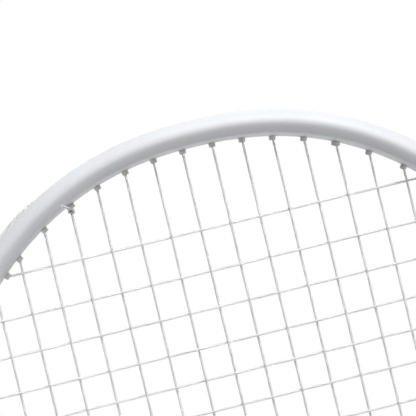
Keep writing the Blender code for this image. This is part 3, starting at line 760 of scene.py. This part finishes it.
def pale_floor(name):
    """A pale floor that runs out into the white background away from the racket."""
    made, tree, shader, place = new_finish(name, Roughness=0.9)
    mottle = node(tree, "ShaderNodeTexNoise", {"Vector": place, "Scale": 3.0, "Detail": 2.0}).outputs["Fac"]
    tone = tone_ramp(tree, mottle, [(0.3, (0.86, 0.86, 0.86)), (0.7, (0.89, 0.89, 0.89))])
    tree.links.new(tone, shader.inputs["Base Color"])
    far = node(tree, "ShaderNodeVectorMath", {0: place}, operation="LENGTH").outputs["Value"]
    fade = node(
        tree, "ShaderNodeMapRange",
        {"Value": far, "From Min": FLOOR_FADE_START, "From Max": FLOOR_RADIUS}, interpolation_type="SMOOTHSTEP",
    ).outputs["Result"]
    share = node(tree, "ShaderNodeMath", {0: fade, 1: background_rays(tree)}, operation="MULTIPLY").outputs[0]
    white = node(tree, "ShaderNodeEmission", {"Color": (1, 1, 1, 1), "Strength": BACKGROUND_LEVEL})
    mix = node(
        tree, "ShaderNodeMixShader",
        {0: share, 1: shader.outputs["BSDF"], 2: white.outputs["Emission"]},
    )
    tree.links.new(mix.outputs["Shader"], tree.nodes["Material Output"].inputs["Surface"])
    return made


# Head


def crown_points():
    """One face of the crown from its inner crease to its outer lip, as (outwards, depth)."""
    halves = []
    for out, deep, fullness in (
        (CREASE_OUT, CREASE_DEPTH, INNER_FULLNESS),
        (LIP_OUT, LIP_DEPTH, OUTER_FULLNESS),
    ):
        share = 1 - (deep / HOOP_HALF_DEPTH) ** fullness
        halves.append((abs(out) / share ** (1 / fullness), fullness))
    start = math.atan2(CREASE_DEPTH / HOOP_HALF_DEPTH, CREASE_OUT / halves[0][0])
    finish = math.atan2(LIP_DEPTH / HOOP_HALF_DEPTH, LIP_OUT / halves[1][0])
    points = []
    for step in range(CROWN_STEPS + 1):
        turn = start + (finish - start) * step / CROWN_STEPS
        out, deep = math.cos(turn), math.sin(turn)
        half, fullness = halves[0 if out < 0 else 1]
        scale = (abs(out) ** fullness + deep**fullness) ** (-1 / fullness)
        points.append((out * scale * half, deep * scale * HOOP_HALF_DEPTH))
    return points


def hoop_section():
    """The hoop's section as (outwards, depth) points in order round it."""
    side = []
    for step in range(1, RIDGE_STEPS + 1):
        share = step / RIDGE_STEPS
        side.append((INNER_WALL + (CREASE_OUT - INNER_WALL) * share**RIDGE_BULGE, CREASE_DEPTH * share))
    side[-1] = (CREASE_OUT + CREASE_NOTCH, CREASE_DEPTH)
    side += crown_points()
    side.append((LIP_OUT - LIP_NOTCH, LIP_DEPTH - LIP_NOTCH))
    side.append((LIP_OUT + LIP_NOTCH / 2, LIP_DEPTH - 2 * LIP_NOTCH))
    side.append((HOOP_HALF_WIDTH - 0.0001, RIM_DEPTH + 0.00015))
    side.append((HOOP_HALF_WIDTH, RIM_DEPTH))
    side.append((HOOP_HALF_WIDTH, GROOVE_HALF_MOUTH))
    side.append((GROOVE_FLOOR, GROOVE_HALF_FLOOR))
    back = [(out, -deep) for out, deep in reversed(side)]
    return [(INNER_WALL, 0)] + side + [(GROOVE_FLOOR, 0)] + back


def add_throat(shape):
    """The flare from the shaft's socket up into the foot of the hoop, with a fillet under the hoop."""
    bottom = HEAD_FOOT - THROAT_LENGTH
    top = HEAD_FOOT + HOOP_HALF_WIDTH
    rings = []
    for radius, height in ((SHAFT_RADIUS, bottom + THROAT_LIP), (THROAT_RADIUS - THROAT_LIP, bottom)):
        rings += turned_rings([(radius, height)], THROAT_SIDES)
    for step in range(THROAT_RINGS + 1):
        share = step / THROAT_RINGS
        half_width = THROAT_RADIUS + (THROAT_TOP_WIDTH - THROAT_RADIUS) * share**2
        half_depth = THROAT_RADIUS + (THROAT_TOP_DEPTH - THROAT_RADIUS) * share
        height = bottom + THROAT_LIP + (top - bottom - THROAT_LIP) * share
        near = min(1.0, max(0.0, (height - HEAD_FOOT) / FILLET_HEIGHT + 1))
        half_width += FILLET_WIDTH * (1 - math.sqrt(1 - near**2))
        turns = [2 * math.pi * count / THROAT_SIDES for count in range(THROAT_SIDES)]
        rings.append([(half_width * math.cos(turn), half_depth * math.sin(turn), height) for turn in turns])
    add_rings(shape, rings)


def make_hoop(finish):
    shape = bmesh.new()
    rings = []
    section = hoop_section()
    for station in range(HOOP_STATIONS):
        angle = 2 * math.pi * station / HOOP_STATIONS
        ring = []
        for out, deep in section:
            spot, _ = head_point(angle, out)
            ring.append(spot - DEPTH_AXIS * deep)
        rings.append(ring)
    add_rings(shape, rings, closed_path=True)
    add_throat(shape)
    add_piece("painted_hoop", smooth_mesh("painted_hoop", shape), finish, "frame_paint", "head_frame")


def nose_object(finish):
    """One grommet's nose, pointing up +Z from the inner wall, with painted shade at its root and inside its
    bore.
    """
    # Rows of (radius, height, painted shade from 0 to 1): shade at the root where the barrel leaves the wall,
    # and inside the bore.
    profile = [
        (0.00098, -0.00110, 1.0),
        (0.00098, -0.00022, 1.0),
        (0.00097, -0.00002, 0.7),
        (0.00096, 0.00008, 0.1),
        (0.00092, 0.00060, 0.0),
        (0.00087, 0.00098, 0.0),
        (0.00082, 0.00107, 0.0),
        (0.00073, 0.00110, 0.0),
        (0.00056, 0.00107, 0.0),
        (0.00050, 0.00090, 0.5),
        (0.00048, 0.00040, 1.0),
    ]
    shape = bmesh.new()
    add_rings(shape, turned_rings([(radius, height) for radius, height, _ in profile], NOSE_SIDES))
    bmesh.ops.recalc_face_normals(shape, faces=shape.faces)
    mesh = bpy.data.meshes.new("grommet_nose")
    shape.to_mesh(mesh)
    shape.free()
    mesh.shade_smooth()
    mesh.materials.append(finish)
    # The painted shade of each ring, stored for the finish to darken the root and the bore.
    painted_root_shades = mesh.attributes.new("root_shade", "FLOAT", "POINT")
    for ring, (_, _, shade) in enumerate(profile):
        for side in range(NOSE_SIDES):
            painted_root_shades.data[ring * NOSE_SIDES + side].value = shade
    nose = bpy.data.objects.new("grommet_nose", mesh)
    bpy.context.scene.collection.objects.link(nose)
    return nose


def new_tree(name, sizes):
    """An empty Geometry Nodes tree with its group nodes and its named inputs as (label, kind)."""
    tree = bpy.data.node_groups.new(name, "GeometryNodeTree")
    tree.interface.new_socket("Geometry", in_out="INPUT", socket_type="NodeSocketGeometry")
    for label, kind in sizes:
        tree.interface.new_socket(label, in_out="INPUT", socket_type=kind)
    tree.interface.new_socket("Geometry", in_out="OUTPUT", socket_type="NodeSocketGeometry")
    return tree, node(tree, "NodeGroupInput"), node(tree, "NodeGroupOutput")


def grown_mesh(name, start_mesh, tree, values):
    """Run a tree on a mesh and return the result as a plain mesh."""
    holder = bpy.data.objects.new(name, start_mesh)
    bpy.context.scene.collection.objects.link(holder)
    step = holder.modifiers.new(tree.name, "NODES")
    step.node_group = tree
    for item in tree.interface.items_tree:
        if item.in_out == "INPUT" and item.name in values:
            step[item.identifier] = values[item.name]
    view = bpy.context.evaluated_depsgraph_get()
    made = bpy.data.meshes.new_from_object(
        holder.evaluated_get(view), preserve_all_data_layers=True, depsgraph=view
    )
    holder.modifiers.clear()
    bpy.data.objects.remove(holder)
    return made


def nose_tree():
    """Set a nose on every point, turned along its bore and broadened where two strings share it."""
    sizes = [("Nose", "NodeSocketObject"), ("Finish", "NodeSocketMaterial")]
    tree, start, end = new_tree("grommet_noses", sizes)
    inward = node(tree, "GeometryNodeInputNamedAttribute", {"Name": "inward"}, data_type="FLOAT_VECTOR")
    breadth = node(tree, "GeometryNodeInputNamedAttribute", {"Name": "breadth"}, data_type="FLOAT")
    turn = node(
        tree, "FunctionNodeAlignRotationToVector", {"Vector": inward.outputs["Attribute"]}, axis="Z"
    )
    size = node(
        tree, "ShaderNodeCombineXYZ",
        {"X": breadth.outputs["Attribute"], "Y": breadth.outputs["Attribute"], "Z": 1.0},
    )
    nose = node(tree, "GeometryNodeObjectInfo", {"Object": start.outputs["Nose"], "As Instance": True})
    placed = node(
        tree, "GeometryNodeInstanceOnPoints",
        {
            "Points": start.outputs["Geometry"],
            "Instance": nose.outputs["Geometry"],
            "Rotation": turn.outputs["Rotation"],
            "Scale": size.outputs["Vector"],
        },
    )
    real = node(tree, "GeometryNodeRealizeInstances", {"Geometry": placed.outputs["Instances"]})
    done = node(
        tree, "GeometryNodeSetMaterial",
        {"Geometry": real.outputs["Geometry"], "Material": start.outputs["Finish"]},
    )
    tree.links.new(done.outputs["Geometry"], end.inputs["Geometry"])
    return tree


def make_noses(holes, finish):
    spots = []
    ways = []
    breadths = []
    for hole in holes:
        for flip in (1, -1):
            mouth, slope = hole.mouth.copy(), -hole.slope.normalized()
            mouth.x *= flip
            slope.x *= flip
            spots.append(mouth)
            ways.append(slope)
            breadths.append(TIE_OFF_BREADTH if hole.shared else 1.0)
    points = bpy.data.meshes.new("nose_places")
    points.from_pydata(spots, [], [])
    inward = points.attributes.new("inward", "FLOAT_VECTOR", "POINT")
    inward.data.foreach_set("vector", [value for way in ways for value in way])
    breadth = points.attributes.new("breadth", "FLOAT", "POINT")
    breadth.data.foreach_set("value", breadths)
    nose = nose_object(finish)
    mesh = grown_mesh("grommet_noses", points, nose_tree(), {"Nose": nose, "Finish": finish})
    bpy.data.objects.remove(nose)
    add_piece("grommet_noses", mesh, finish, "grommet_nylon")


def strip_ends(holes):
    """The two end angles of every grommet strip, on the right and mirrored to the left."""
    angles = [hole.exit_angle for hole in holes]
    angles.append(angles[-1] - 2 * STRIP_END / HEAD_HALF_WIDTH)
    joints = [(one + other) / 2 for one, other in zip(angles, angles[1:])]
    slack = STRIP_JOINT_GAP / 2 / HEAD_HALF_WIDTH
    half = STRIP_BARRELS // 2
    low = joints[half - 1] + slack
    ends = [(low, math.pi - low)]
    for start in range(half, len(holes), STRIP_BARRELS):
        stop = min(start + STRIP_BARRELS, len(holes))
        high, low = joints[start - 1] - slack, joints[stop - 1] + slack
        ends += [(low, high), (math.pi - high, math.pi - low)]
    return ends


def make_strips(holes, finish):
    """The strips that join the grommets in the groove."""
    wide, low, high = STRIP_HALF_WIDTH, STRIP_BOTTOM, STRIP_TOP
    inset = wide - STRIP_BEVEL
    section = [(low, -wide), (low, wide), (high - STRIP_BEVEL, wide), (high, inset)]
    section += [(high, -inset), (high - STRIP_BEVEL, -wide)]
    shape = bmesh.new()
    for start, finish_angle in strip_ends(holes):
        rings = []
        for step in range(STRIP_STEPS + 1):
            angle = start + (finish_angle - start) * step / STRIP_STEPS
            rings.append([head_point(angle, out)[0] - DEPTH_AXIS * deep for out, deep in section])
        add_rings(shape, rings)
    nodes = [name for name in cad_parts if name.startswith("grommet_strip")]
    add_piece("grommet_strips", smooth_mesh("grommet_strips", shape), finish, "grommet_nylon", *nodes)


def string_tree():
    """Sweep a round section along a route, and keep the length along it for the finish."""
    sizes = [
        ("Radius", "NodeSocketFloat"),
        ("Sides", "NodeSocketInt"),
        ("Finish", "NodeSocketMaterial"),
    ]
    tree, start, end = new_tree("wound_string", sizes)
    route = node(tree, "GeometryNodeMeshToCurve", {"Mesh": start.outputs["Geometry"]})
    length = node(tree, "GeometryNodeSplineParameter")
    marked = node(
        tree, "GeometryNodeStoreNamedAttribute",
        {"Geometry": route.outputs["Curve"], "Name": "along", "Value": length.outputs["Length"]},
        data_type="FLOAT", domain="POINT",
    )
    ring = node(
        tree, "GeometryNodeCurvePrimitiveCircle",
        {"Resolution": start.outputs["Sides"], "Radius": start.outputs["Radius"]},
    )
    tube = node(
        tree, "GeometryNodeCurveToMesh",
        {"Curve": marked.outputs["Geometry"], "Profile Curve": ring.outputs["Curve"], "Fill Caps": True},
    )
    smooth = node(tree, "GeometryNodeSetShadeSmooth", {"Geometry": tube.outputs["Mesh"]})
    real = node(tree, "GeometryNodeRealizeInstances", {"Geometry": smooth.outputs["Geometry"]})
    done = node(
        tree, "GeometryNodeSetMaterial",
        {"Geometry": real.outputs["Geometry"], "Material": start.outputs["Finish"]},
    )
    tree.links.new(done.outputs["Geometry"], end.inputs["Geometry"])
    return tree


def make_strings(holes, main_finish, cross_finish):
    tree = string_tree()
    for name, path, finish in (
        ("main_string", main_path(holes), main_finish),
        ("cross_string", cross_path(holes), cross_finish),
    ):
        route = bpy.data.meshes.new(name + "_route")
        route.from_pydata(path, [(place, place + 1) for place in range(len(path) - 1)], [])
        sizes = {"Radius": STRING_RADIUS, "Sides": STRING_SIDES, "Finish": finish}
        mesh = grown_mesh(name + "_route", route, tree, sizes)
        add_piece("woven_" + name, mesh, finish, name + "_nylon", name)


# Shaft and handle


def make_shaft(finish):
    low, high = SHAFT_LOW.z, SHAFT_HIGH.z
    profile = [(SHAFT_RADIUS * 0.9, low), (SHAFT_RADIUS, low + 0.0004)]
    profile += [(SHAFT_RADIUS, high - 0.0004), (SHAFT_RADIUS * 0.9, high)]
    add_piece("painted_shaft", turned_mesh("painted_shaft", profile), finish, "shaft_paint", "shaft")


def make_cone(finish):
    """The cone over the top of the handle, a little hollow in its side, with rounded edges."""
    top, base = CONE_HIGH.z, CONE_LOW.z
    profile = [(SHAFT_RADIUS, top - 0.0012), (SHAFT_RADIUS + 0.0003, top - 0.0003)]
    profile += [(CONE_TOP_RADIUS - CONE_EDGE, top)]
    for step in range(CONE_STEPS + 1):
        share = step / CONE_STEPS
        dip = CONE_DIP * math.sin(math.pi * share)
        radius = CONE_TOP_RADIUS + (CONE_BASE_RADIUS - CONE_TOP_RADIUS) * share - dip
        profile.append((radius, top - CONE_EDGE + (base + 2 * CONE_EDGE - top) * share))
    profile += [(CONE_BASE_RADIUS - CONE_EDGE, base), (CONE_BASE_RADIUS - 4 * CONE_EDGE, base)]
    add_piece("handle_cone", turned_mesh("handle_cone", profile), finish, "cone_plastic", "cone_cap")


def octagon_loop(grow):
    """Points round the handle's octagon, grown by a wall, with its corners rounded."""
    half_width, half_depth = CORE_HIGH.x + grow, CORE_HIGH.y + grow
    chamfer = CORE_CHAMFER + grow * OCTAGON_GROWTH
    flat_x, flat_y = half_width - chamfer, half_depth - chamfer
    quarter = [(half_width, flat_y), (flat_x, half_depth)]
    half = quarter + [(-x, y) for x, y in reversed(quarter)]
    corners = [Vector(corner) for corner in half + [(-x, -y) for x, y in half]]
    rounded = []
    for place, corner in enumerate(corners):
        before, after = corners[place - 1], corners[(place + 1) % len(corners)]
        start = corner + (before - corner).normalized() * OCTAGON_CORNER
        end = corner + (after - corner).normalized() * OCTAGON_CORNER
        for step in range(EDGE_STEPS + 1):
            share = step / EDGE_STEPS
            rounded.append(start.lerp(corner, share).lerp(corner.lerp(end, share), share))
    lengths = [(there - here).length for here, there in zip(rounded, rounded[1:] + rounded[:1])]
    gap = sum(lengths) / OCTAGON_POINTS
    loop = []
    travelled, target = 0.0, 0.0
    for here, there, length in zip(rounded, rounded[1:] + rounded[:1], lengths):
        while target < travelled + length - WELD_DISTANCE and len(loop) < OCTAGON_POINTS:
            loop.append(here.lerp(there, (target - travelled) / length))
            target += gap
        travelled += length
    return loop


def octagon_rings(profile):
    """Rings round the handle for a profile of (wall, height)."""
    return [[(x, y, height) for x, y in octagon_loop(wall)] for wall, height in profile]


def make_cap(finish):
    """The butt cap: a rounded foot and lip, and a shallow bare recess under it."""
    low, high = CAP_LOW.z, CAP_HIGH.z
    wall = CAP_WALL
    profile = [(-0.0075, low + CAP_RECESS), (-0.0034, low + CAP_RECESS), (-0.0031, low)]
    profile += rounded_edge(-math.pi / 2, CAP_EDGE, (wall - CAP_EDGE, low + CAP_EDGE))
    profile += rounded_edge(0, CAP_EDGE / 2, (wall - CAP_EDGE / 2, high - CAP_EDGE / 2))
    profile += [(GRIP_BASE, high), (GRIP_BASE, high - 0.001)]
    shape = bmesh.new()
    add_rings(shape, octagon_rings(profile))
    add_piece("butt_end", smooth_mesh("butt_end", shape), finish, "cap_plastic", "butt_cap")


def make_collar(finish):
    """The band that closes the grip, full across its middle."""
    low, high = COLLAR_LOW.z, COLLAR_HIGH.z
    steps = 2 * EDGE_STEPS
    profile = [(GRIP_BASE, low)]
    for step in range(steps + 1):
        share = step / steps
        swell = COLLAR_BULGE * (math.sin(math.pi * share) ** 0.5 - 1)
        profile.append((COLLAR_WALL + swell, low + (high - low) * share))
    profile.append((GRIP_BASE, high))
    shape = bmesh.new()
    add_rings(shape, octagon_rings(profile))
    add_piece("grip_band", smooth_mesh("grip_band", shape), finish, "collar_band", "grip_collar")


def grip_wall(share):
    """The strip's height above the core at a share of its pitch, full but for its two edges."""
    near = min(share, 1 - share) * GRIP_PITCH
    rise = min(1.0, near / GRIP_EDGE_WIDTH)
    rise = math.sin(math.pi / 2 * rise) ** 0.8
    wall = GRIP_BASE + GRIP_THICKNESS * (GRIP_EDGE_SHARE + (1 - GRIP_EDGE_SHARE) * rise)
    if share > 0.5:
        wall += GRIP_OVERLAP_RAISE * max(0.0, 1 - near / (2 * GRIP_EDGE_WIDTH))
    return wall


def make_grip(finish):
    """The grip: one strip wound up the handle, each turn lapping the one below it."""
    low, high = GRIP_LOW.z, GRIP_HIGH.z
    rows = round((high - low) / GRIP_ROW)
    inner = octagon_loop(GRIP_BASE)
    outer = octagon_loop(GRIP_BASE + GRIP_THICKNESS)
    around = sum((there - here).length for here, there in zip(outer, outer[1:] + outer[:1]))
    shape = bmesh.new()
    strip = shape.loops.layers.uv.new("strip")
    rings = [[(x, y, low) for x, y in inner]]
    turns = {}
    for row in range(rows + 1):
        height = low + (high - low) * row / rows
        ring = []
        for place, (here, there) in enumerate(zip(inner, outer)):
            share = ((height - low) / GRIP_PITCH - place / OCTAGON_POINTS) % 1.0
            x, y = here.lerp(there, (grip_wall(share) - GRIP_BASE) / GRIP_THICKNESS)
            ring.append((x, y, height))
        rings.append(ring)
    rings.append([(x, y, high) for x, y in inner])
    add_rings(shape, rings)
    for face in shape.faces:
        for loop in face.loops:
            spot = loop.vert.co
            place = math.atan2(spot.y, spot.x) / (2 * math.pi)
            climb = (spot.z - low) / GRIP_PITCH - place
            loop[strip].uv = ((climb % 1.0) * GRIP_PITCH, (place + math.floor(climb)) * around)
    add_piece("wound_grip", smooth_mesh("wound_grip", shape), finish, "grip_strip", "grip_wrap")


# Studio


def make_world():
    """Even studio light, with the background itself plain white."""
    world = bpy.data.worlds.new("studio")
    bpy.context.scene.world = world
    world.use_nodes = True
    tree = world.node_tree
    tree.nodes.clear()
    even = node(tree, "ShaderNodeBackground", {"Color": (1, 1, 1, 1), "Strength": AMBIENT_LEVEL})
    white = node(tree, "ShaderNodeBackground", {"Color": (1, 1, 1, 1), "Strength": BACKGROUND_LEVEL})
    mix = node(
        tree, "ShaderNodeMixShader",
        {0: background_rays(tree), 1: even.outputs["Background"], 2: white.outputs["Background"]},
    )
    node(tree, "ShaderNodeOutputWorld", {"Surface": mix.outputs["Shader"]})


def make_lamp(name, place, size, power, shine=False):
    """A round soft lamp that lights the racket, with or without a reflection of itself in the gloss."""
    lamp = bpy.data.lights.new(name, "AREA")
    lamp.shape = "DISK"
    lamp.size = size
    lamp.energy = power
    holder = bpy.data.objects.new(name, lamp)
    bpy.context.scene.collection.objects.link(holder)
    holder.location = place
    holder.rotation_euler = (LAMP_AIM - place).to_track_quat("-Z", "Y").to_euler()
    holder.visible_glossy = shine


def make_floor():
    shape = bmesh.new()
    bmesh.ops.create_circle(shape, cap_ends=True, segments=96, radius=FLOOR_RADIUS)
    bmesh.ops.translate(shape, verts=shape.verts, vec=(0, 0, -FLOOR_DROP))
    mesh = bpy.data.meshes.new("floor")
    shape.to_mesh(mesh)
    shape.free()
    mesh.materials.append(pale_floor("pale_floor"))
    floor = bpy.data.objects.new("floor", mesh)
    bpy.context.scene.collection.objects.link(floor)


def make_camera():
    lens = bpy.data.cameras.new("camera")
    lens.sensor_width = SENSOR_WIDTH
    lens.lens = CAMERA_LENS
    lens.clip_start = 0.01
    camera = bpy.data.objects.new("camera", lens)
    bpy.context.scene.collection.objects.link(camera)
    forward = CAMERA_FORWARD.normalized()
    right = forward.cross(CAMERA_UP).normalized()
    up = right.cross(forward)
    turn = Matrix((right, up, -forward)).transposed().to_4x4()
    camera.matrix_world = Matrix.Translation(CAMERA_PLACE) @ turn
    bpy.context.scene.camera = camera


def make_racket():
    holes, in_order = string_holes()
    nylon = grommet_nylon("grommet_nylon")
    make_hoop(flake_paint("pearl_hoop_paint", (0.792, 0.81, 0.836)))
    make_noses(in_order, nylon)
    make_strips(in_order, nylon)
    make_strings(
        holes,
        string_nylon("main_nylon", (0.87, 0.87, 0.91)),
        string_nylon("cross_nylon", (0.86, 0.87, 0.89)),
    )
    make_shaft(flake_paint("pearl_shaft_paint", (0.78, 0.79, 0.82)))
    make_cone(moulded_plastic("cone_plastic", (0.78, 0.79, 0.82), 0.38))
    make_cap(moulded_plastic("cap_plastic", (0.74, 0.75, 0.77), 0.45))
    make_grip(grip_polyurethane("grip_polyurethane", (0.80, 0.80, 0.81)))
    make_collar(moulded_plastic("collar_rubber", (0.34, 0.35, 0.37), 0.55))
    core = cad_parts["handle_core"]
    core.data.materials.clear()
    core.data.materials.append(turned_wood("handle_wood"))


bpy.context.scene.view_settings.view_transform = "Standard"
make_racket()
make_world()
make_floor()
make_lamp("key_lamp", KEY_PLACE, KEY_SIZE, KEY_POWER)
make_lamp("fill_lamp", FILL_PLACE, FILL_SIZE, FILL_POWER, True)
make_lamp("back_lamp", BACK_PLACE, BACK_SIZE, BACK_POWER)
make_camera()
